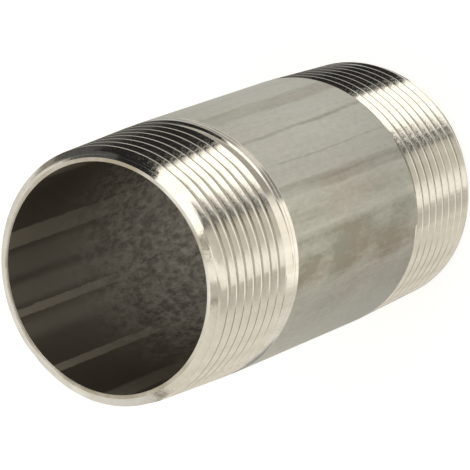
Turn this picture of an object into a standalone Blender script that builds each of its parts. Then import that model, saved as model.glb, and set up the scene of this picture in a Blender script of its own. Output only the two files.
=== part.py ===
"""A double nipple of stainless steel: a short pipe with a right-hand taper pipe thread on both ends.

Metres, +Z up. The nipple stands on one end, with its axis on Z and its lower end face at z = 0. Each thread is
worked out in the frame of its own end, where depth is the distance from that end face along the axis.
"""

import bmesh
import bpy
import numpy as np
from math import ceil, pi, radians, tan
from mathutils import Matrix, Vector

MM = 0.001
INCH = 25.4 * MM
FULL_TURN = 2 * pi

# The pipe that the nipple is cut from: size 1 1/4, light wall
LENGTH = 80.0 * MM
PIPE_DIAMETER = 42.4 * MM
WALL = 2.77 * MM
BORE_DEBURR = 0.15 * MM

# The thread form: 11 threads to the inch, flanks at 55 degrees, a taper of 1 in 16 on the diameter
THREADS_PER_INCH = 11
FLANK_ANGLE = radians(55)
TAPER = 1 / 16
FLAT_SHARE = 1 / 6  # of the pitch, for the crest and for the root
CREST_REACHES_PIPE = 20.5 * MM  # depth at which the cone of the crests meets the pipe

# Each end: how far the full thread goes in, over how much of a turn it then fades, and where it begins
UPPER_FULL_THREAD = 18.2 * MM
LOWER_FULL_THREAD = 19.9 * MM
FADE_TURNS = 0.75
UPPER_START = radians(102)
LOWER_START = radians(106)
LEAD_CHAMFER = 1.0 * MM  # depth over which the chamfer climbs from the root circle to the crests

FACETS = 48  # round one turn
FLANK_STEPS = 40  # halvings when a flank is carried out to the surface
WELD = 0.1e-3 * MM

PITCH = INCH / THREADS_PER_INCH
FLAT = FLAT_SHARE * PITCH
HALF_FLANK = FLANK_ANGLE / 2
THREAD_DEPTH = (PITCH / 2 - FLAT) / tan(HALF_FLANK)
PIPE_RADIUS = PIPE_DIAMETER / 2
BORE_RADIUS = PIPE_RADIUS - WALL
CREST_AT_END = PIPE_RADIUS - CREST_REACHES_PIPE * TAPER / 2
ROOT_AT_END = CREST_AT_END - THREAD_DEPTH
DEBURR = min(BORE_DEBURR, (ROOT_AT_END - BORE_RADIUS) / 3)


def crest_radius(depth):
    """Radius of the cone on which the thread's crests lie."""
    return CREST_AT_END + depth * TAPER / 2


def blank_radius(depth):
    """Radius of the turned blank before threading: lead-in chamfer, crest cone, then the plain pipe."""
    chamfer = ROOT_AT_END + depth * (crest_radius(LEAD_CHAMFER) - ROOT_AT_END) / LEAD_CHAMFER
    return np.minimum(np.minimum(chamfer, crest_radius(depth)), PIPE_RADIUS)


def flank_top(root_edge, root, crest_edge):
    """Depth at which a flank, climbing from its root edge to its crest edge, comes out of the blank."""
    under, over = np.zeros_like(root_edge), np.ones_like(root_edge)
    for _ in range(FLANK_STEPS):
        share = (under + over) / 2
        depth = root_edge + share * (crest_edge - root_edge)
        inside = root + share * (crest_radius(crest_edge) - root) < blank_radius(depth)
        under = np.where(inside, share, under)
        over = np.where(inside, over, share)
    return root_edge + under * (crest_edge - root_edge)


def thread_meridians(full_thread, start):
    """(angle, depth, radius) of a threaded end as arrays, one column for each meridian.

    The groove is a trapezoid whose middle lies PITCH deeper after each turn. Every groove gives a meridian four
    points: outer flank top, outer root edge, inner root edge and inner flank top. Past the full thread the root
    rises between flanks that keep their line, until it has left the metal. Points that fall outside the threaded
    length lie on its first or last circle.
    """
    fade_end = full_thread + FADE_TURNS * PITCH
    end = thread_end(full_thread)
    grooves = np.arange(-2, ceil(end / PITCH) + 2)
    angle = np.linspace(0, FULL_TURN, FACETS + 1)
    middle = (grooves[:, None] + (angle - start) / FULL_TURN) * PITCH
    fading = np.clip((fade_end - middle) / (fade_end - full_thread), 0, 1)
    groove_depth = THREAD_DEPTH * fading
    root_half = PITCH / 2 - FLAT / 2 - groove_depth * tan(HALF_FLANK)
    crest_half = PITCH / 2 - FLAT / 2
    rows = []
    for side in (-1, 1):
        root_edge = middle + side * root_half
        root = np.minimum(crest_radius(root_edge) - groove_depth, blank_radius(root_edge))
        top = flank_top(root_edge, root, middle + side * crest_half)
        flank = [(top, blank_radius(top)), (root_edge, root)]
        rows += flank if side < 0 else flank[::-1]
    depth = np.stack([row[0] for row in rows], axis=1).reshape(-1, FACETS + 1)
    radius = np.stack([row[1] for row in rows], axis=1).reshape(-1, FACETS + 1)
    radius = np.where(depth <= 0, ROOT_AT_END, np.where(depth >= end, PIPE_RADIUS, radius))
    return angle, np.clip(depth, 0, end), radius


def thread_end(full_thread):
    """Depth of the circle where a threaded end passes into the plain pipe."""
    return max(full_thread + (FADE_TURNS + 1) * PITCH, CREST_REACHES_PIPE)


def add_threaded_end(mesh, full_thread, start, to_part):
    """The skin of one threaded end: a loft from meridian to meridian, one pitch deeper after the full turn."""
    angle, depth, radius = thread_meridians(full_thread, start)
    points = np.stack([radius * np.cos(angle), radius * np.sin(angle), depth], axis=-1)
    verts = [[mesh.verts.new(to_part @ Vector(point)) for point in row] for row in points]
    for lower, upper in zip(verts, verts[1:]):
        for i in range(FACETS):
            mesh.faces.new((lower[i], lower[i + 1], upper[i + 1], upper[i]))


def add_revolved(mesh, profile):
    """The surface that a profile of (radius, height) points sweeps round the axis."""
    verts = [mesh.verts.new((radius, 0, height)) for radius, height in profile]
    edges = [mesh.edges.new(pair) for pair in zip(verts, verts[1:])]
    bmesh.ops.spin(mesh, geom=verts + edges, axis=(0, 0, 1), cent=(0, 0, 0), angle=FULL_TURN, steps=FACETS)


def stainless_steel():
    """Pickled and drawn stainless pipe: a warm mid grey with a satin gloss."""
    material = bpy.data.materials.new("stainless_steel")
    material.use_nodes = True
    shader = material.node_tree.nodes["Principled BSDF"]
    shader.inputs["Base Color"].default_value = (0.42, 0.41, 0.37, 1)
    shader.inputs["Metallic"].default_value = 1
    shader.inputs["Roughness"].default_value = 0.35
    return material


def build_nipple():
    mesh = bmesh.new()
    turn_over = Matrix.Translation((0, 0, LENGTH)) @ Matrix.Rotation(pi, 4, "X")
    add_threaded_end(mesh, LOWER_FULL_THREAD, LOWER_START, Matrix.Identity(4))
    add_threaded_end(mesh, UPPER_FULL_THREAD, -UPPER_START, turn_over)
    add_revolved(mesh, [
        (PIPE_RADIUS, thread_end(LOWER_FULL_THREAD)),
        (PIPE_RADIUS, LENGTH - thread_end(UPPER_FULL_THREAD)),
    ])
    add_revolved(mesh, [
        (ROOT_AT_END, LENGTH),
        (BORE_RADIUS + DEBURR, LENGTH),
        (BORE_RADIUS, LENGTH - DEBURR),
        (BORE_RADIUS, DEBURR),
        (BORE_RADIUS + DEBURR, 0),
        (ROOT_AT_END, 0),
    ])
    bmesh.ops.remove_doubles(mesh, verts=mesh.verts, dist=WELD)
    bmesh.ops.recalc_face_normals(mesh, faces=mesh.faces)
    data = bpy.data.meshes.new("double_nipple")
    mesh.to_mesh(data)
    mesh.free()
    data.materials.append(stainless_steel())
    data.shade_smooth()
    data.set_sharp_from_angle(angle=radians(30))
    nipple = bpy.data.objects.new("double_nipple", data)
    bpy.context.scene.collection.objects.link(nipple)


for obj in list(bpy.data.objects):
    bpy.data.objects.remove(obj)
build_nipple()
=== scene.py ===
"""A threaded double nipple in stainless steel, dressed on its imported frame, on a pale studio floor.

Metres, +Z up. The nipple stands on its lower end. A thread is worked out in the frame of its own end, where depth is
the distance from that end face along the axis; the upper end is the same skin turned over.
"""

from math import ceil, cos, pi, radians, sin, tan

import bmesh
import bpy
import numpy as np
from mathutils import Matrix, Vector


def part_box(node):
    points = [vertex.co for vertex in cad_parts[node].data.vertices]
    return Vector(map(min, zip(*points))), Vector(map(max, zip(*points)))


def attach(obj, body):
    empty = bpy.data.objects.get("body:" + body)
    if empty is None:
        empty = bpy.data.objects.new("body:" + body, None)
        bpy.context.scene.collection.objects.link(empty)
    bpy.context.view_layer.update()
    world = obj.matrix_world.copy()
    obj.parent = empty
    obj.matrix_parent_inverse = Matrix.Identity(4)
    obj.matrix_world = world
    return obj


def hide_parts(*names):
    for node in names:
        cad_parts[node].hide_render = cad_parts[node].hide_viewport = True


bl_info = {
    "name": "Threaded double nipple",
    "version": (1, 0, 0),
    "blender": (4, 5, 0),
    "location": "3D View > Sidebar > Nipple",
    "description": "Builds a stainless steel pipe nipple with two taper threads, its finishes and its studio",
    "category": "Add Mesh",
}

MM = 0.001
FULL_TURN = 2 * pi
NODE = "double_nipple"

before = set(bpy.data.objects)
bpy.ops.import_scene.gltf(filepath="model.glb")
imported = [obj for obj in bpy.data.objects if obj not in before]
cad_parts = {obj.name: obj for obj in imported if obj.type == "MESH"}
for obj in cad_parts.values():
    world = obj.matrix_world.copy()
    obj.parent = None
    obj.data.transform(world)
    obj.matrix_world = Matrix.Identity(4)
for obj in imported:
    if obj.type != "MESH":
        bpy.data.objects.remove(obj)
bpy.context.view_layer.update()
cad_low, cad_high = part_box(NODE)

# The driving sizes that the frame gives
CAD_LENGTH = cad_high.z - cad_low.z
CAD_DIAMETER = cad_high.x - cad_low.x


class NippleSizes(bpy.types.PropertyGroup):
    """Sizes of the pipe and of its two threads."""

    length: bpy.props.FloatProperty(
        name="Length", description="From end face to end face", default=CAD_LENGTH, unit="LENGTH")
    diameter: bpy.props.FloatProperty(
        name="Pipe diameter", description="Outside, on the plain middle", default=CAD_DIAMETER, unit="LENGTH")
    wall: bpy.props.FloatProperty(
        name="Wall", description="Wall of the pipe", default=2.77 * MM, unit="LENGTH")
    deburr: bpy.props.FloatProperty(
        name="Bore deburr", description="Width of the broken edge of the bore", default=0.06 * MM, unit="LENGTH")
    pitch: bpy.props.FloatProperty(
        name="Pitch", description="From crest to crest, 11 to the inch", default=25.4 * MM / 11, unit="LENGTH")
    flank_angle: bpy.props.FloatProperty(
        name="Flank angle", description="Between the two sides of a groove", default=radians(55), subtype="ANGLE")
    taper: bpy.props.FloatProperty(
        name="Taper", description="Growth of the thread's diameter along its depth", default=1 / 16)
    flat_share: bpy.props.FloatProperty(
        name="Flat", description="Share of the pitch that the thread's height leaves flat at crest and root",
        default=1 / 6)
    crest_reaches_pipe: bpy.props.FloatProperty(
        name="Taper ends", description="Depth where the cone of the crests meets the pipe",
        default=20.5 * MM, unit="LENGTH")
    upper_full_thread: bpy.props.FloatProperty(
        name="Upper full thread", description="Depth to which the upper thread is full",
        default=18.2 * MM, unit="LENGTH")
    lower_full_thread: bpy.props.FloatProperty(
        name="Lower full thread", description="Depth to which the lower thread is full",
        default=19.6 * MM, unit="LENGTH")
    upper_start: bpy.props.FloatProperty(
        name="Upper start", description="Where the upper groove's middle leaves the end face",
        default=radians(102), subtype="ANGLE")
    lower_start: bpy.props.FloatProperty(
        name="Lower start", description="Where the lower groove's middle leaves the end face",
        default=radians(106), subtype="ANGLE")
    fade_turns: bpy.props.FloatProperty(
        name="Fade", description="Turns over which a groove rises out of the metal", default=0.75)
    lead_chamfer: bpy.props.FloatProperty(
        name="Lead-in chamfer", description="Depth over which the chamfer climbs to the crests",
        default=1.0 * MM, unit="LENGTH")
    edge: bpy.props.FloatProperty(
        name="Edge", description="Width of the break on the thread's edges", default=0.02 * MM, unit="LENGTH")
    bulge: bpy.props.FloatProperty(
        name="Bulge", description="How far a flank's middle stands out of its straight line",
        default=0.012 * MM, unit="LENGTH")
    crest_width: bpy.props.FloatProperty(
        name="Crest width", description="Flat that is left on a crest", default=0.3 * MM, unit="LENGTH")
    skim: bpy.props.FloatProperty(
        name="Skim", description="How far the pipe is turned down past the upper thread",
        default=0.04 * MM, unit="LENGTH")
    columns: bpy.props.IntProperty(
        name="Columns", description="Faces round one turn", default=300)


class NippleFinish(bpy.types.PropertyGroup):
    """Colours of the metal in its four finishes, each with the colour of its duller places.
    The grey stain also paints reflection on the pipe, the end face's dull sectors paint shade round painted
    highlights, and the bore frost paints light deep in the bore.
    """

    pickled: bpy.props.StringProperty(
        name="Pickled pipe", description="Satin outside of the pipe", default="#D9D7CC")
    # The grey stain also paints a broad dark band about -120 degrees on the pipe: painted reflection as well as stain.
    stain: bpy.props.StringProperty(
        name="Grey stain", description="Streaks left on the pipe by drawing and pickling", default="#A09E90")
    brown_stain: bpy.props.StringProperty(
        name="Brown stain", description="Parts of the same streaks", default="#A69B8B")
    cut: bpy.props.StringProperty(
        name="Cut thread", description="Bright metal left by the threading tool", default="#D2CEC5")
    cut_dull: bpy.props.StringProperty(
        name="Smeared thread", description="Where the tool smeared the metal", default="#B5AFA0")
    faced: bpy.props.StringProperty(
        name="Faced end", description="Turned end face and broken edges", default="#D6D4CF")
    # The dull sector colour is painted shade; the sectors of the end face left bright are painted highlights.
    faced_dull: bpy.props.StringProperty(
        name="Dull sector", description="Duller sectors of the end face", default="#9C9588")
    # The bore frost colour also paints light deep in the bore.
    bore: bpy.props.StringProperty(
        name="Bore frost", description="Frosted grains and bands inside the pipe", default="#D3CCBE")
    bore_dark: bpy.props.StringProperty(
        name="Bore", description="Dark inside of the pipe", default="#6B6357")


class NippleStage(bpy.types.PropertyGroup):
    """The camera, the floor and the studio round it."""

    camera_distance: bpy.props.FloatProperty(
        name="Camera distance", description="From the nipple's middle", default=0.681768, unit="LENGTH")
    camera_lean: bpy.props.FloatProperty(
        name="Camera lean", description="Between the line of sight and the pipe's axis",
        default=radians(34.45), subtype="ANGLE")
    camera_roll: bpy.props.FloatProperty(
        name="Camera roll", description="About the line of sight", default=radians(110.84), subtype="ANGLE")
    camera_pan: bpy.props.FloatProperty(
        name="Camera pan", description="Off the nipple's middle, sideways", default=radians(0.068), subtype="ANGLE")
    camera_tilt: bpy.props.FloatProperty(
        name="Camera tilt", description="Off the nipple's middle, upwards", default=radians(0.144), subtype="ANGLE")
    lens: bpy.props.FloatProperty(
        name="Lens", description="Focal length in millimetres on a 36 mm sensor", default=322.2)
    floor: bpy.props.StringProperty(
        name="Floor", description="Colour of the floor", default="#BCBCBA")
    surround: bpy.props.StringProperty(
        name="Surround", description="Colour of the studio above the floor", default="#A8A398")


def linear(text):
    """A colour written as sRGB hex, turned to linear red, green, blue and alpha."""
    srgb = np.array([int(text[i:i + 2], 16) for i in (1, 3, 5)]) / 255
    return *np.where(srgb <= 0.04045, srgb / 12.92, ((srgb + 0.055) / 1.055) ** 2.4), 1


class ThreadForm:
    """One end's thread, worked out from the sizes. All radii are functions of depth."""

    def __init__(self, sizes, full_thread, start, skim=0):
        self.pitch = sizes.pitch
        self.half_flank = sizes.flank_angle / 2
        self.height = (0.5 - sizes.flat_share) * self.pitch / tan(self.half_flank)
        self.taper = sizes.taper
        self.pipe = sizes.diameter / 2 - skim
        self.crest_at_end = sizes.diameter / 2 - sizes.crest_reaches_pipe * sizes.taper / 2
        self.root_at_end = self.crest_at_end - self.height
        self.chamfer = sizes.lead_chamfer
        self.full_thread = full_thread
        self.fade_end = full_thread + sizes.fade_turns * self.pitch
        self.end = max(self.fade_end + self.pitch / 2, sizes.crest_reaches_pipe)
        self.start = start
        self.crest_half = (self.pitch - sizes.crest_width) / 2
        self.edge = sizes.edge
        self.bulge = sizes.bulge

    def crest(self, depth):
        """Radius of the cone on which the crests lie."""
        return self.crest_at_end + depth * self.taper / 2

    def blank(self, depth):
        """Radius of the turned blank: the lowest of the lead-in chamfer, the crest cone and the skimmed pipe."""
        climb = (self.crest(self.chamfer) - self.root_at_end) / self.chamfer
        return np.minimum(np.minimum(self.root_at_end + depth * climb, self.crest(depth)), self.pipe)


HALVINGS = 40  # when a flank is carried out to the surface
MOST_BROKEN = 0.3  # the share of a low flank that the break of an edge may take


def flank_top(form, root_edge, root, crest_edge):
    """Depth at which a flank, climbing from its root edge to its crest edge, comes out of the blank, by halving."""
    under, over = np.zeros_like(root_edge), np.ones_like(root_edge)
    for _ in range(HALVINGS):
        share = (under + over) / 2
        depth = root_edge + share * (crest_edge - root_edge)
        inside = root + share * (form.crest(crest_edge) - root) < form.blank(depth)
        under = np.where(inside, share, under)
        over = np.where(inside, over, share)
    return root_edge + under * (crest_edge - root_edge)


def thread_skin(form, columns):
    """(points, faces, across) of a threaded end's skin, in the end's own frame.

    The groove's middle lies at depth pitch * (groove + (angle - start) / full turn). On either side it gives rows of
    points: the crest's edge, the flank's outer edge, its middle, which stands out by the bulge, its inner edge and
    the root's edge. The bulge goes with the square of the flank's height, so it leaves low flanks straight. The root
    rises to the blank over the fade, between flanks that keep their line. A row's last point is the first point of
    the same row in the next groove, so the skin is one helical strip with no seam. across is each point's distance
    from its groove's middle.
    """
    grooves = np.arange(-2, ceil(form.end / form.pitch) + 3)
    angle = np.arange(columns) * FULL_TURN / columns
    middle = (grooves[:, None] + (angle - form.start) / FULL_TURN) * form.pitch
    fading = np.clip((form.fade_end - middle) / (form.fade_end - form.full_thread), 0, 1)
    cut = form.height * fading
    root_half = form.crest_half - cut * tan(form.half_flank)
    rows = []
    for side in (-1, 1):
        root_edge = middle + side * root_half
        root = np.minimum(form.crest(root_edge) - cut, form.blank(root_edge))
        top = flank_top(form, root_edge, root, middle + side * form.crest_half)
        run = np.maximum(np.hypot(top - root_edge, form.blank(top) - root), form.edge)
        step = np.minimum(form.edge / run, MOST_BROKEN)
        bulge = form.bulge * (run / form.height) ** 2 * (run > form.edge)
        corner = root_edge - side * form.edge / 2
        points = [
            (top + side * form.edge, form.blank(top + side * form.edge)),
            (top - step * (top - root_edge), root + (1 - step) * (form.blank(top) - root)),
            ((root_edge + top) / 2 - side * bulge * cos(form.half_flank),
             (root + form.blank(top)) / 2 + bulge * sin(form.half_flank)),
            (root_edge + step * (top - root_edge), root + step * (form.blank(top) - root)),
            (corner, np.minimum(root, form.blank(corner))),
        ]
        rows += points if side < 0 else points[::-1]
    depth = np.stack([row[0] for row in rows], axis=1).reshape(-1, columns)
    radius = np.stack([row[1] for row in rows], axis=1).reshape(-1, columns)
    across = depth - np.repeat(middle, len(rows), axis=0)
    radius = np.where(depth <= 0, form.root_at_end, np.where(depth >= form.end, form.pipe, radius))
    depth = np.clip(depth, 0, form.end)
    points = np.stack([radius * np.cos(angle), radius * np.sin(angle), depth], axis=-1)
    used = len(depth) - len(rows)
    return points.reshape(-1, 3), strip_faces(used, columns, len(rows)), across.ravel()


def strip_faces(rows, columns, next_turn):
    """Quads between neighbouring rows of a grid whose last column runs into its first, next_turn rows further on."""
    row, column = np.meshgrid(np.arange(rows), np.arange(columns), indexing="ij")
    right = np.where(column + 1 < columns, row * columns + column + 1, (row + next_turn) * columns)
    here = row * columns + column
    return np.stack([here[:-1], right[:-1], right[1:], here[1:]], axis=-1).reshape(-1, 4)


def revolved(profile, columns):
    """(points, faces) of the surface that a profile of (radius, height) rows sweeps round the axis.

    A radius may be an array with one value for each column, so that the section needn't be round.
    """
    angle = np.arange(columns) * FULL_TURN / columns
    radius = np.stack([np.broadcast_to(row[0], angle.shape) for row in profile])
    height = np.stack([np.broadcast_to(row[1], angle.shape) for row in profile])
    points = np.stack([radius * np.cos(angle), radius * np.sin(angle), height], axis=-1)
    return points.reshape(-1, 3), strip_faces(len(profile), columns, 0)


# Finishes, in the order of the mesh's materials
PICKLED, CUT, FACED, BORE = range(4)

# The collar past the upper thread. Its places are distances from the thread's end.
RING_GROOVE = np.array([(0.12, 0), (0.2, 0.05), (0.3, 0.05), (0.38, 0)]) * MM  # (place, depth)
STEP_PLACE = 0.75 * MM
STEP_WAVES = ((1, 0.45 * MM, radians(-98)), (3, 0.12 * MM, 0))  # (waves in a turn, height, azimuth of a peak)
STEP_RUN = 0.06 * MM


def skimmed_collar(form, sizes):
    """Rows of the collar that the die's throat skims past the upper thread: a shallow ring groove, a land and a step.

    The step back up to the pipe wanders with the angle, as the pipe isn't quite round: a mean plus two waves. Where
    it reaches the ring groove there is no groove.
    """
    angle = np.arange(sizes.columns) * FULL_TURN / sizes.columns
    top = sizes.length - form.end
    step = top - STEP_PLACE - sum(height * np.cos(count * (angle - peak)) for count, height, peak in STEP_WAVES)
    ring = top - RING_GROOVE[:, :1] + 0 * angle
    depth = RING_GROOVE[:, 1:] * (ring[-1] > step)
    rows = [(form.pipe, top)]
    rows += [(form.pipe - cut, np.maximum(height, step)) for cut, height in zip(depth, ring)]
    return rows + [(form.pipe, step), (sizes.diameter / 2, step - STEP_RUN)]


ON_PIPE = 0.004 * MM  # skin that lies no deeper than this still has the pipe's own surface
WELD = 1e-7
SHARP = radians(25)  # flatter edges are shaded smooth


def nipple_mesh(sizes):
    """Joins the skins into one closed mesh, each with its finish, and welds their meeting circles.

    Skin that still lies on the pipe's own radius, past the depth that was turned, keeps the pipe's finish.
    """
    columns = sizes.columns
    lower = ThreadForm(sizes, sizes.lower_full_thread, sizes.lower_start)
    upper = ThreadForm(sizes, sizes.upper_full_thread, -sizes.upper_start, sizes.skim)
    pipe = sizes.diameter / 2
    bore = pipe - sizes.wall
    parts = []
    for form, over in ((lower, False), (upper, True)):
        points, faces, across = thread_skin(form, columns)
        low = np.hypot(points[:, 0], points[:, 1])[faces].min(axis=1) < pipe - ON_PIPE
        turned = points[:, 2][faces].mean(axis=1) < sizes.crest_reaches_pipe
        if over:
            points = points * (1, -1, -1) + (0, 0, sizes.length)
        parts.append((points, faces, across, np.where(low | turned, CUT, PICKLED)))
    collar = skimmed_collar(upper, sizes)
    middle = np.linspace(0, 1, 12)[:, None]
    foot = lower.end + 0 * collar[-1][1]
    for finish, profile in (
        (CUT, collar[::-1]),
        (PICKLED, [(pipe, foot + share * (collar[-1][1] - foot)) for share in middle]),
        (FACED, [(upper.root_at_end, sizes.length), (bore + sizes.deburr, sizes.length)]),
        (FACED, [(bore + sizes.deburr, sizes.length), (bore + sizes.deburr * 0.3, sizes.length - sizes.deburr * 0.3),
                 (bore, sizes.length - sizes.deburr)]),
        (BORE, [(bore, z) for z in np.linspace(sizes.length - sizes.deburr, sizes.deburr, 24)]),
        (FACED, [(bore, sizes.deburr), (bore + sizes.deburr, 0), (lower.root_at_end, 0)]),
    ):
        points, faces = revolved(profile, columns)
        parts.append((points, faces, np.zeros(len(points)), np.full(len(faces), finish)))
    offset = np.cumsum([0] + [len(part[0]) for part in parts[:-1]])
    points = np.concatenate([part[0] for part in parts])
    faces = np.concatenate([part[1] + first for part, first in zip(parts, offset)])
    across = np.concatenate([part[2] for part in parts])
    finish = np.concatenate([part[3] for part in parts])
    mesh = bpy.data.meshes.new("threaded_pipe")
    mesh.from_pydata(points.tolist(), [], faces.tolist())
    mesh.attributes.new("across", "FLOAT", "POINT").data.foreach_set("value", across.astype(np.float32))
    mesh.polygons.foreach_set("material_index", finish.astype(np.int32))
    welded = bmesh.new()
    welded.from_mesh(mesh)
    bmesh.ops.remove_doubles(welded, verts=welded.verts, dist=WELD)
    welded.to_mesh(mesh)
    welded.free()
    mesh.shade_smooth()
    mesh.set_sharp_from_angle(angle=SHARP)
    return mesh


def add_node(tree, kind, inputs=None, **settings):
    """Adds a node, sets its properties, then fills its inputs: a socket is linked, anything else is its value."""
    node = tree.nodes.new("ShaderNode" + kind)
    for name, value in settings.items():
        setattr(node, name, value)
    for key, value in (inputs or {}).items():
        if isinstance(value, bpy.types.NodeSocket):
            tree.links.new(value, node.inputs[key])
        else:
            node.inputs[key].default_value = value
    return node


def new_metal(name, roughness):
    """A new metal material: (material, its node tree, its shader, the object's coordinates)."""
    material = bpy.data.materials.new(name)
    material.use_nodes = True
    tree = material.node_tree
    shader = tree.nodes["Principled BSDF"]
    shader.inputs["Metallic"].default_value = 1
    shader.inputs["Roughness"].default_value = roughness
    return material, tree, shader, tree.nodes.new("ShaderNodeTexCoord").outputs["Object"]


# Streaks along the pipe and its bore, and sectors of its end faces: (azimuth in degrees, degrees that it drifts over
# the length, half width in degrees, share of the half width over which its edge fades, strength). The pipe's broad dark
# band about -120 degrees is painted reflection as well as stain; the end faces' dull sectors are painted shade, and
# the bright sectors between them painted highlights.
OUTER_STREAKS = (
    (-122, 0, 40, 1, 0.5),
    (-119, 3, 16, 0.8, 1.0),
    (-106, -3, 9, 0.8, 0.85),
    (-96, 1, 14, 1, 0.5),
    (-90.5, 0, 0.5, 0.5, 0.3),
    (-84, 1, 4.2, 0.5, 0.45),
    (-82.5, 0, 1, 0.6, 0.6),
    (-70.5, 0, 0.5, 0.5, 0.3),
    (-53.5, -3, 1.6, 1, 0.5),
    (-37, 1, 5.5, 0.4, 0.35),
    (-20, 0, 0.4, 0.5, 0.2),
    (12, 3, 5, 0.5, 0.5),
    (38, 0, 1, 0.5, 0.4),
    (71, -3, 6, 0.7, 0.6),
    (104, 0, 0.6, 0.5, 0.35),
    (121, 2, 9, 0.5, 0.5),
    (163, 0, 3, 0.4, 0.4),
)
BORE_STREAKS = (
    (7, 0, 8, 0.3, 0.45),
    (54, 0, 5, 0.15, 0.8),
    (67, 0, 8.5, 0.6, 0.42),
    (82, 0, 7, 0.6, 0.48),
    (91, 0, 2.2, 0.2, 0.95),
    (100, 0, 8, 0.9, 0.5),
    (124.3, 0, 2.4, 0.2, 1.0),
    (161, 0, 9, 0.3, 0.6),
    (-160, 0, 4, 0.2, 0.7),
    (-118, 0, 7, 0.3, 0.5),
    (-95, 0, 2, 0.2, 0.8),
    (-60, 0, 9, 0.4, 0.5),
    (-30, 0, 2, 0.2, 0.7),
)
FACE_SECTORS = (
    (-180, 0, 72, 1, 0.85),
    (-90, 0, 15, 1, 0.7),
    (-30, 0, 34, 0.9, 0.85),
    (5, 0, 60, 0.8, 0.58),
    (72, 0, 25, 1, 0.4),
    (105, 0, 25, 1, 0.4),
    (158, 0, 50, 0.8, 0.85),
)


def streaks(tree, place, ragged, rows):
    """The strongest of the streaks at a place.

    Each has its full strength near its line, and fades to nought where the azimuth is half a width off. ragged, a
    small noise, is added to the azimuth first.
    """
    split = add_node(tree, "SeparateXYZ", {"Vector": place}).outputs
    azimuth = add_node(tree, "Math", {0: split["Y"], 1: split["X"]}, operation="ARCTAN2").outputs[0]
    azimuth = add_node(tree, "Math", {0: azimuth, 1: ragged}, operation="ADD").outputs[0]
    strongest = 0
    for middle, drift, half, fade, strength in rows:
        line = add_node(tree, "Math", {0: split["Z"], 1: radians(drift) / CAD_LENGTH, 2: radians(middle)},
                        operation="MULTIPLY_ADD").outputs[0]
        away = add_node(tree, "Math", {0: azimuth, 1: line}, operation="SUBTRACT").outputs[0]
        away = add_node(tree, "Math", {0: away}, operation="ABSOLUTE").outputs[0]
        share = add_node(tree, "MapRange", {"Value": away, "From Min": radians(half * (1 - fade)),
                                            "From Max": radians(half), "To Min": strength, "To Max": 0},
                         interpolation_type="SMOOTHSTEP").outputs[0]
        strongest = add_node(tree, "Math", {0: strongest, 1: share}, operation="MAXIMUM").outputs[0]
    return strongest


def pickled_pipe(finish):
    """Drawn 300-series pipe, pickled: a dull satin grey, with grey and brownish stains in streaks along it.
    The broad darker band about -120 degrees is painted reflection as well as stain.

    The stains are clouds of 6 and 11 mm, and the grains 0.6 mm, all about twice as long. Drawing lines are a few
    hundredths of a millimetre wide, which doesn't show, so they are drawn 0.45 mm wide.
    """
    material, tree, shader, place = new_metal("pickled_stainless_pipe", 0.5)
    lengthwise = add_node(tree, "Mapping", {"Vector": place, "Scale": (1, 1, 0.04)}).outputs[0]
    brushed = add_node(tree, "TexNoise", {"Vector": lengthwise, "Scale": 1 / (0.45 * MM), "Detail": 3}).outputs[0]
    longish = add_node(tree, "Mapping", {"Vector": place, "Scale": (1, 1, 0.45)}).outputs[0]
    cloud = add_node(tree, "TexNoise", {"Vector": longish, "Scale": 1 / (6 * MM), "Detail": 6, "Roughness": 0.62})
    grain = add_node(tree, "TexNoise", {"Vector": longish, "Scale": 1 / (0.6 * MM), "Detail": 3}).outputs[0]
    ragged = add_node(tree, "MapRange", {"Value": cloud.outputs[0], "From Min": 0.3, "From Max": 0.7,
                                         "To Min": -0.014, "To Max": 0.014}).outputs[0]
    # Besides stains, the streaks paint a broad dark band about -120 degrees, which is painted reflection.
    stain = streaks(tree, place, ragged, OUTER_STREAKS)
    patchy = add_node(tree, "MapRange", {"Value": cloud.outputs[0], "From Min": 0.38, "From Max": 0.62,
                                         "To Min": 0.55, "To Max": 1.15}).outputs[0]
    stain = add_node(tree, "Math", {0: stain, 1: patchy}, operation="MULTIPLY").outputs[0]
    freckle = add_node(tree, "MapRange", {"Value": grain, "From Min": 0.35, "From Max": 0.8, "To Max": 0.22}).outputs[0]
    stain = add_node(tree, "Math", {0: stain, 1: freckle}, operation="ADD").outputs[0]
    brush = add_node(tree, "MapRange", {"Value": brushed, "From Min": 0.4, "From Max": 0.75, "To Max": 0.09}).outputs[0]
    stain = add_node(tree, "Math", {0: stain, 1: brush}, operation="ADD", use_clamp=True).outputs[0]
    second = add_node(tree, "TexNoise", {"Vector": longish, "Scale": 1 / (11 * MM), "Detail": 4}).outputs[0]
    brown = add_node(tree, "MapRange", {"Value": second, "From Min": 0.45, "From Max": 0.6}).outputs[0]
    dark = add_node(tree, "Mix", {0: brown, 6: linear(finish.stain), 7: linear(finish.brown_stain)}, data_type="RGBA")
    colour = add_node(tree, "Mix", {0: stain, 6: linear(finish.pickled), 7: dark.outputs[2]}, data_type="RGBA")
    tree.links.new(colour.outputs[2], shader.inputs["Base Color"])
    gloss = add_node(tree, "MapRange", {"Value": brushed, "To Min": 0.42, "To Max": 0.58}).outputs[0]
    tree.links.new(gloss, shader.inputs["Roughness"])
    height = add_node(tree, "Math", {0: grain, 1: brushed}, operation="ADD").outputs[0]
    bump = add_node(tree, "Bump", {"Height": height, "Strength": 0.2, "Distance": 0.02 * MM}).outputs[0]
    tree.links.new(bump, shader.inputs["Normal"])
    return material


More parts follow.
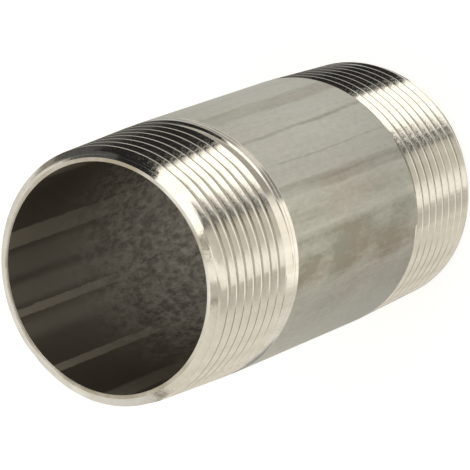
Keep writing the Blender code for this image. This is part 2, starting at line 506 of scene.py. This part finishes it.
def cut_thread(finish):
    """Stainless cut by a die: bright, with fine marks that run round and chatter ticks that cross them.

    The marks run along the thread, with across for their height. Real ones are a few hundredths of a millimetre
    wide, so they are drawn coarser, 0.2 mm wide, and the ticks 0.35 mm apart.
    """
    material, tree, shader, place = new_metal("cut_stainless_thread", 0.1)
    across = add_node(tree, "Attribute", attribute_name="across").outputs["Fac"]
    split = add_node(tree, "SeparateXYZ", {"Vector": place}).outputs
    along = add_node(tree, "CombineXYZ", {"X": split["X"], "Y": split["Y"], "Z": across}).outputs[0]
    run = add_node(tree, "Mapping", {"Vector": along, "Scale": (0.05, 0.05, 1)}).outputs[0]
    marks = add_node(tree, "TexNoise", {"Vector": run, "Scale": 1 / (0.2 * MM), "Detail": 2}).outputs[0]
    cross = add_node(tree, "Mapping", {"Vector": along, "Scale": (1, 1, 0.2)}).outputs[0]
    ticks = add_node(tree, "TexNoise", {"Vector": cross, "Scale": 1 / (0.35 * MM), "Detail": 1}).outputs[0]
    smear = add_node(tree, "TexNoise", {"Vector": cross, "Scale": 1 / (2.5 * MM), "Detail": 2}).outputs[0]
    height = add_node(tree, "Math", {0: marks, 1: ticks}, operation="ADD").outputs[0]
    bump = add_node(tree, "Bump", {"Height": height, "Strength": 0.3, "Distance": 0.002 * MM}).outputs[0]
    tree.links.new(bump, shader.inputs["Normal"])
    gloss = add_node(tree, "MapRange", {"Value": ticks, "From Min": 0.3, "From Max": 0.7,
                                        "To Min": 0.06, "To Max": 0.16})
    tree.links.new(gloss.outputs[0], shader.inputs["Roughness"])
    dull = add_node(tree, "MapRange", {"Value": smear, "From Min": 0.35, "From Max": 0.75, "To Max": 0.5}).outputs[0]
    colour = add_node(tree, "Mix", {0: dull, 6: linear(finish.cut), 7: linear(finish.cut_dull)}, data_type="RGBA")
    tree.links.new(colour.outputs[2], shader.inputs["Base Color"])
    return material


def faced_end(finish):
    """Stainless faced on a lathe: fine rings about the axis, painted highlights in some sectors and painted shade
    in the others.

    A wave repeats after 0.31 of its unit, so the rings lie 0.25 mm apart. Real ones are finer than shows.
    """
    material, tree, shader, place = new_metal("faced_stainless_end", 0.24)
    rings = add_node(tree, "TexWave", {"Vector": place, "Scale": 1 / (0.8 * MM), "Distortion": 1.5, "Detail": 2},
                     wave_type="RINGS", rings_direction="Z").outputs["Fac"]
    bump = add_node(tree, "Bump", {"Height": rings, "Strength": 0.2, "Distance": 0.01 * MM}).outputs[0]
    tree.links.new(bump, shader.inputs["Normal"])
    blotch = add_node(tree, "TexNoise", {"Vector": place, "Scale": 1 / (3 * MM), "Detail": 3}).outputs[0]
    ragged = add_node(tree, "MapRange", {"Value": blotch, "To Min": -0.1, "To Max": 0.1}).outputs[0]
    # Painted shade in dull sectors, leaving painted highlights in the sectors between them.
    dull = streaks(tree, place, ragged, FACE_SECTORS)
    patchy = add_node(tree, "MapRange", {"Value": blotch, "From Min": 0.35, "From Max": 0.65,
                                         "To Max": 0.35}).outputs[0]
    share = add_node(tree, "Math", {0: dull, 1: patchy}, operation="ADD", use_clamp=True).outputs[0]
    colour = add_node(tree, "Mix", {0: share, 6: linear(finish.faced), 7: linear(finish.faced_dull)}, data_type="RGBA")
    tree.links.new(colour.outputs[2], shader.inputs["Base Color"])
    return material


def drawn_bore(finish):
    """Drawn and pickled inside: dark, with crisp bands along the bore, and frosted grains away from its upper mouth.
    The colour grows lighter towards the lower end as painted light deep in the bore.

    The etched grains are up to 1.2 mm across and twice as long.
    """
    material, tree, shader, place = new_metal("drawn_stainless_bore", 0.42)
    longish = add_node(tree, "Mapping", {"Vector": place, "Scale": (1, 1, 0.5)}).outputs[0]
    mottle = add_node(tree, "TexNoise", {"Vector": longish, "Scale": 1 / (1.2 * MM), "Detail": 6, "Roughness": 0.75})
    ragged = add_node(tree, "MapRange", {"Value": mottle.outputs[0], "To Min": -0.02, "To Max": 0.02}).outputs[0]
    band = streaks(tree, place, ragged, BORE_STREAKS)
    height = add_node(tree, "SeparateXYZ", {"Vector": place}).outputs["Z"]
    # Painted light: deeper in the bore the colour turns to the lighter frosted grains, as the bore gets little light
    # there.
    deep = add_node(tree, "MapRange", {"Value": height, "From Min": 66 * MM, "From Max": 47 * MM,
                                       "To Max": 0.85}).outputs[0]
    frost = add_node(tree, "MapRange", {"Value": mottle.outputs[0], "From Min": 0.42, "From Max": 0.63}).outputs[0]
    band = add_node(tree, "Math", {0: band, 1: 0.68, 2: 0.26}, operation="MULTIPLY_ADD").outputs[0]
    share = add_node(tree, "Mix", {0: deep, 2: band, 3: frost}).outputs[0]
    colour = add_node(tree, "Mix", {0: share, 6: linear(finish.bore_dark), 7: linear(finish.bore)}, data_type="RGBA")
    tree.links.new(colour.outputs[2], shader.inputs["Base Color"])
    gloss = add_node(tree, "MapRange", {"Value": share, "To Min": 0.36, "To Max": 0.55}).outputs[0]
    tree.links.new(gloss, shader.inputs["Roughness"])
    bump = add_node(tree, "Bump", {"Height": mottle.outputs[0], "Strength": 0.3, "Distance": 0.05 * MM}).outputs[0]
    tree.links.new(bump, shader.inputs["Normal"])
    return material


class NIPPLE_OT_threaded_pipe(bpy.types.Operator):
    """Build the threaded pipe with its finishes and put it in the place of the plain solid."""

    bl_idname = "nipple.threaded_pipe"
    bl_label = "Build the threaded pipe"

    def execute(self, context):
        scene = context.scene
        mesh = nipple_mesh(scene.nipple_sizes)
        for finish in (pickled_pipe, cut_thread, faced_end, drawn_bore):
            mesh.materials.append(finish(scene.nipple_finish))
        piece = bpy.data.objects.new("threaded_pipe", mesh)
        scene.collection.objects.link(piece)
        # So that the slivers where a groove leaves the metal don't tilt the shading of their neighbours
        shading = piece.modifiers.new("shading_by_area", "WEIGHTED_NORMAL")
        shading.keep_sharp = True
        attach(piece, "root")
        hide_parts(NODE)
        return {"FINISHED"}


def matt(name, colour, glow=0, tint=(1, 1, 1, 1)):
    """Matt paint or card, which may glow by itself. The glow lights nothing but what reflects it."""
    material = bpy.data.materials.new(name)
    material.use_nodes = True
    shader = material.node_tree.nodes["Principled BSDF"]
    shader.inputs["Base Color"].default_value = colour
    shader.inputs["Roughness"].default_value = 0.9
    shader.inputs["Specular IOR Level"].default_value = 0
    shader.inputs["Emission Color"].default_value = tint
    shader.inputs["Emission Strength"].default_value = glow
    material.cycles.emission_sampling = "NONE"
    return material


def pale_floor(colour, glow):
    """Matt floor paint. What sees it straight or in metal gets white from a glow, and shadows still darken it."""
    material = matt("pale_floor", colour)
    tree = material.node_tree
    path = tree.nodes.new("ShaderNodeLightPath").outputs
    seen = add_node(tree, "Math", {0: path["Is Camera Ray"], 1: path["Is Glossy Ray"]}, operation="MAXIMUM")
    seen = add_node(tree, "Math", {0: seen.outputs[0], 1: path["Is Transmission Ray"]}, operation="MAXIMUM")
    level = add_node(tree, "Math", {0: seen.outputs[0], 1: glow}, operation="MULTIPLY")
    tree.links.new(level.outputs[0], tree.nodes["Principled BSDF"].inputs["Emission Strength"])
    return material


def add_stage_object(name, points, faces, materials):
    """A thing of the studio, made of points and of faces between them."""
    mesh = bpy.data.meshes.new(name)
    mesh.from_pydata(points.tolist(), [], faces.tolist())
    mesh.shade_smooth()
    thing = bpy.data.objects.new(name, mesh)
    for material in materials:
        mesh.materials.append(material)
    bpy.context.scene.collection.objects.link(thing)
    return thing


FLOOR_COLUMNS = 96
FLOOR_REACH = 1.6  # radius of its flat part
FLOOR_SWEEP = 0.4  # radius of the sweep up to the wall
WALL_TOP = 0.7
FLOOR_DROP = 0.2 * MM  # below the nipple, so that no two faces lie in one plane
FLOOR_GLOW = 0.7
BORE_FLOOR_GLOW = 0.4


def add_floor(stage, bore):
    """A round floor that sweeps up into a low wall: a flat disc, a quarter circle, then a straight rise.

    The disc inside the pipe has a finish of its own with less glow, because it lies in the dark.
    """
    turn = np.linspace(0, pi / 2, 12)
    profile = [(0.1 * MM, 0), (bore, 0), (50 * MM, 0), (200 * MM, 0), (FLOOR_REACH, 0)]
    profile += [(FLOOR_REACH + FLOOR_SWEEP * sin(a), FLOOR_SWEEP * (1 - cos(a))) for a in turn[1:]]
    profile += [(FLOOR_REACH + FLOOR_SWEEP, WALL_TOP)]
    profile = [(radius, height - FLOOR_DROP) for radius, height in profile]
    points, faces = revolved(profile[::-1], FLOOR_COLUMNS)
    floor = add_stage_object("floor", points, faces, [
        pale_floor(linear(stage.floor), FLOOR_GLOW),
        matt("floor_in_the_bore", linear(stage.floor), BORE_FLOOR_GLOW),
    ])
    inside = np.zeros(len(floor.data.polygons), np.int32)
    inside[-FLOOR_COLUMNS:] = 1
    floor.data.polygons.foreach_set("material_index", inside)


# Lamps and flags hang in level planes above the nipple. A place there is given as the slope of the way to it from the
# nipple: metres to the side for each metre of height.
# A lamp is (low x, high x, low y, high y, brightness, colour), and a flag is (glow, corners).
HANG = 3.0  # height of the lamps over the nipple's upper end
FLAGS_HANG = 0.98 * HANG
CARD_BLACK = "#0A0A0A"
LAMPS = {
    "key": (0.08, 0.95, -0.95, 0.3, 1.6, "#FFFDF8"),
    "middle": (-0.24, -0.08, -0.62, -0.1, 0.48, "#FFFCF5"),
    "middle_shade": (-0.08, -0.01, -0.62, -0.1, 0.46, "#FFFCF5"),
    "middle_edge": (-0.01, 0.05, -0.62, -0.1, 0.36, "#FFFAF0"),
    "patch": (-0.44, -0.24, -0.62, -0.1, 1, "#FFFDF8"),
    "seam": (-0.62, -0.44, -0.62, 0.1, 0.36, "#FFFDF8"),
    "side": (-2.2, -0.62, -0.45, 1.6, 0.68, "#FFFCF6"),
    "front": (-0.62, -0.1, -1.1, -0.64, 1.7, "#FFFDF8"),
    "rear": (-0.5, 0.5, 0.5, 1.6, 0.9, "#FFFCF6"),
    "left_wing": (-1.3, -0.7, -1.9, -1.1, 1.6, "#FFFDF8"),
    "right_wing": (0.8, 1.4, -1.8, -1.0, 1.6, "#FFFDF8"),
}
FLAGS = {
    "right": (0.025, ((0.47, 0.1), (0.73, -0.235), (1.6, -0.9), (3.4, -0.9), (3.4, 0.2), (1.2, 0.2), (1.1, 1.6),
                      (0.52, 1.6), (0.52, 0.4))),
    "grey": (0.12, ((1.2, 0.2), (3.4, 0.2), (3.4, 1.6), (1.1, 1.6))),
    "gap": (0.2, ((0.06, -0.55), (0.33, -0.424), (0.1, -0.42), (0.28, -0.335), (0.3, -0.2), (0.05, -0.1))),
}

# Rings lie flat on the floor about the nipple, and only the metal sees them. A ring's glow goes by azimuth.
# (inner and outer radius, colour, then azimuth in degrees and glow in turn)
RINGS = {
    "near_ring": (22 * MM, 36 * MM, "#FFFFFA",
                  ((-180, 0.45), (-148, 0.45), (-134, 1.25), (-87, 1.25), (-82, 0.5), (120, 0.5), (150, 0.45),
                   (180, 0.45))),
    "middle_ring": (36 * MM, 53 * MM, "#FDFEFF",
                    ((-180, 0.4), (-140, 0.3), (-120, 0.07), (-84, 0.12), (-65, 0.72), (0, 0.8), (40, 0.6),
                     (180, 0.26))),
    "land_ring": (53 * MM, 63 * MM, "#FFFBF2",
                  ((-180, 1.05), (-150, 1.05), (-136, 1.65), (-85, 1.65), (-80, 0.35), (-60, 0.4), (-52, 1), (-34, 1),
                   (-28, 0.5), (60, 0.5), (120, 1), (180, 1.05))),
    "far_ring": (63 * MM, 84 * MM, "#FFFBF2",
                 ((-180, 0.45), (-150, 0.45), (-136, 1.5), (-86, 1.5), (-79, 1.2), (-72, 0.5), (120, 0.5),
                  (150, 0.45), (180, 0.45))),
    "outer_ring": (84 * MM, 180 * MM, "#FFFFFA", ((-180, 0.6), (180, 0.6))),
    "horizon": (180 * MM, 450 * MM, "#FFFFFA",
                ((-180, 0.3), (-140, 0.3), (-126, 1), (-96, 1), (-87, 0.06), (-65, 0.06), (-58, 2.2), (-30, 2.2),
                 (-22, 0.2), (0, 0.2), (40, 1), (130, 1), (165, 0.3), (180, 0.3))),
}


def add_lamp(name, low_x, high_x, low_y, high_y, brightness, colour):
    """A level rectangle of light. Its power is its brightness times pi times its area."""
    lamp = bpy.data.lights.new(name, "AREA")
    lamp.shape = "RECTANGLE"
    lamp.size = (high_x - low_x) * HANG
    lamp.size_y = (high_y - low_y) * HANG
    lamp.energy = brightness * pi * lamp.size * lamp.size_y
    lamp.color = linear(colour)[:3]
    thing = bpy.data.objects.new(name, lamp)
    thing.location = ((low_x + high_x) / 2 * HANG, (low_y + high_y) / 2 * HANG, HANG + CAD_LENGTH)
    thing.visible_camera = False
    bpy.context.scene.collection.objects.link(thing)


def add_flag(name, glow, corners):
    """A black or dimly glowing card in front of the lamps, that the metal shows and the camera doesn't see."""
    points = np.array([(x, y, 1) for x, y in corners]) * FLAGS_HANG + (0, 0, CAD_LENGTH)
    material = matt(name + "_card", linear(CARD_BLACK), glow)
    card = add_stage_object(name, points, np.arange(len(corners))[None], [material])
    card.visible_camera = False
    card.visible_diffuse = False


def add_ring(name, inner, outer, colour, levels):
    """A flat ring of glow just above the floor: two circles of points, each point with the glow of its azimuth.

    The glow changes along straight lines between the given azimuths, in steps of two degrees.
    """
    angle = np.linspace(-180, 180, 181)
    glow = np.interp(angle, *zip(*levels))
    turn = np.radians(angle)
    points = np.concatenate([np.stack([r * np.cos(turn), r * np.sin(turn), 0 * turn], -1) for r in (inner, outer)])
    here = np.arange(len(angle) - 1)
    faces = np.stack([here, here + len(angle), here + len(angle) + 1, here + 1], axis=-1)
    material = matt(name, (0, 0, 0, 1), 0, linear(colour))
    level = add_node(material.node_tree, "Attribute", attribute_name="glow").outputs["Fac"]
    material.node_tree.links.new(level, material.node_tree.nodes["Principled BSDF"].inputs["Emission Strength"])
    ring = add_stage_object(name, points, faces, [material])
    values = np.concatenate([glow, glow]).astype(np.float32)
    ring.data.attributes.new("glow", "FLOAT", "POINT").data.foreach_set("value", values)
    ring.visible_camera = False
    ring.visible_shadow = False
    ring.visible_diffuse = False


def add_camera(stage):
    """The photograph's view: on the nipple's upper end, leaning from its axis, rolled about the line of sight."""
    middle = Vector((0, 0, CAD_LENGTH / 2))
    lean = stage.camera_lean
    back = Vector((0, -sin(lean), cos(lean)))
    right = Vector((1, 0, 0))
    forward = -back
    up = right.cross(forward)
    forward = Matrix.Rotation(stage.camera_pan, 3, up) @ forward
    right = Matrix.Rotation(stage.camera_pan, 3, up) @ right
    tilt = Matrix.Rotation(stage.camera_tilt, 3, right)
    forward, up = tilt @ forward, tilt @ up
    roll = Matrix.Rotation(stage.camera_roll, 3, forward)
    right, up = roll @ right, roll @ up
    camera = bpy.data.objects.new("camera", bpy.data.cameras.new("camera"))
    camera.data.lens = stage.lens
    axes = Matrix((right, up, -forward)).transposed().to_4x4()
    camera.matrix_world = Matrix.Translation(middle + back * stage.camera_distance) @ axes
    camera.data.clip_end = 20
    bpy.context.scene.collection.objects.link(camera)
    bpy.context.scene.camera = camera


class NIPPLE_OT_stage(bpy.types.Operator):
    """Set up the camera, the pale floor, the lamps, the flags and the rings."""

    bl_idname = "nipple.stage"
    bl_label = "Set up the stage"

    def execute(self, context):
        scene = context.scene
        stage = scene.nipple_stage
        sizes = scene.nipple_sizes
        scene.view_settings.view_transform = "Standard"
        add_camera(stage)
        add_floor(stage, sizes.diameter / 2 - sizes.wall)
        for name, values in LAMPS.items():
            add_lamp(name, *values)
        for name, values in FLAGS.items():
            add_flag(name, *values)
        for name, values in RINGS.items():
            add_ring(name, *values)
        world = bpy.data.worlds.new("studio")
        world.use_nodes = True
        world.node_tree.nodes["Background"].inputs["Color"].default_value = linear(stage.surround)
        scene.world = world
        return {"FINISHED"}


class NIPPLE_PT_panel(bpy.types.Panel):
    """Sizes, colours and the two steps."""

    bl_idname = "NIPPLE_PT_panel"
    bl_label = "Double nipple"
    bl_space_type = "VIEW_3D"
    bl_region_type = "UI"
    bl_category = "Nipple"

    def draw(self, context):
        for group in (context.scene.nipple_sizes, context.scene.nipple_finish, context.scene.nipple_stage):
            for name in group.__annotations__:
                self.layout.prop(group, name)
        for step in STEPS:
            self.layout.operator(step.bl_idname)


STEPS = (NIPPLE_OT_threaded_pipe, NIPPLE_OT_stage)
GROUPS = {"nipple_sizes": NippleSizes, "nipple_finish": NippleFinish, "nipple_stage": NippleStage}


def register():
    for group in (*GROUPS.values(), *STEPS, NIPPLE_PT_panel):
        bpy.utils.register_class(group)
    for name, group in GROUPS.items():
        setattr(bpy.types.Scene, name, bpy.props.PointerProperty(type=group))


def unregister():
    for name in GROUPS:
        delattr(bpy.types.Scene, name)
    for group in reversed((*GROUPS.values(), *STEPS, NIPPLE_PT_panel)):
        bpy.utils.unregister_class(group)


def main():
    register()
    bpy.ops.nipple.threaded_pipe()
    bpy.ops.nipple.stage()


if __name__ == "__main__":
    main()
